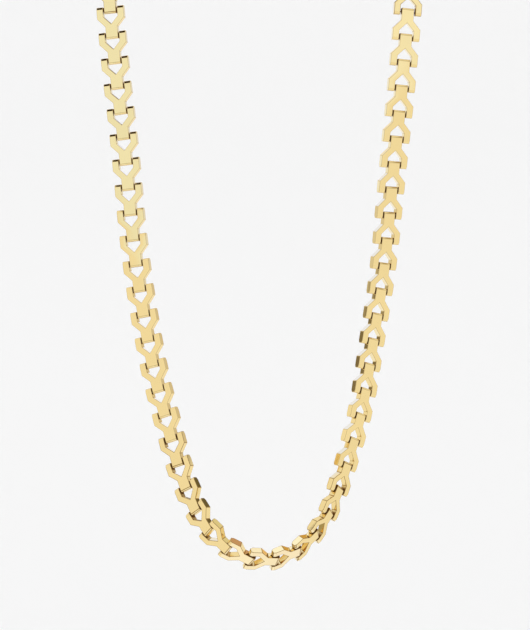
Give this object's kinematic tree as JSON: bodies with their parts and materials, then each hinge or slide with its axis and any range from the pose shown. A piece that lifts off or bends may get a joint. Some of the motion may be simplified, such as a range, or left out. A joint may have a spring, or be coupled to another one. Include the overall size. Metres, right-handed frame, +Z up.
{
  "type": "necklace",
  "caption": "gold Y-link chain necklace, each stem hinged between the arms of the next link, closed behind the neck by rings and a flat clasp",
  "frame": {"origin": "the nape, midway between the eyes that the two ends of the chain close with, where the worn chain rests on the back of the neck", "axes": "X across the wearer, +X to the viewer's right; the viewer looks along +Y, so the front of the chain faces -Y; +Z up, and the front loop hangs down along -Z"},
  "size_m": [0.1022, 0.0715, 0.2082],
  "materials": {
    "polished_gold": "gold plated steel, polished flat faces with crisp edges",
    "ring_gold": "gold plated steel wire, polished",
    "clasp_gold": "gold plated steel, polished"
  },
  "bodies": {
    "root": {"y_links": "polished_gold", "tongue_tab": "polished_gold", "forked_tab": "polished_gold", "left_jump_ring": "ring_gold", "right_jump_ring": "ring_gold", "clasp": "clasp_gold"}
  },
  "joints": []
}
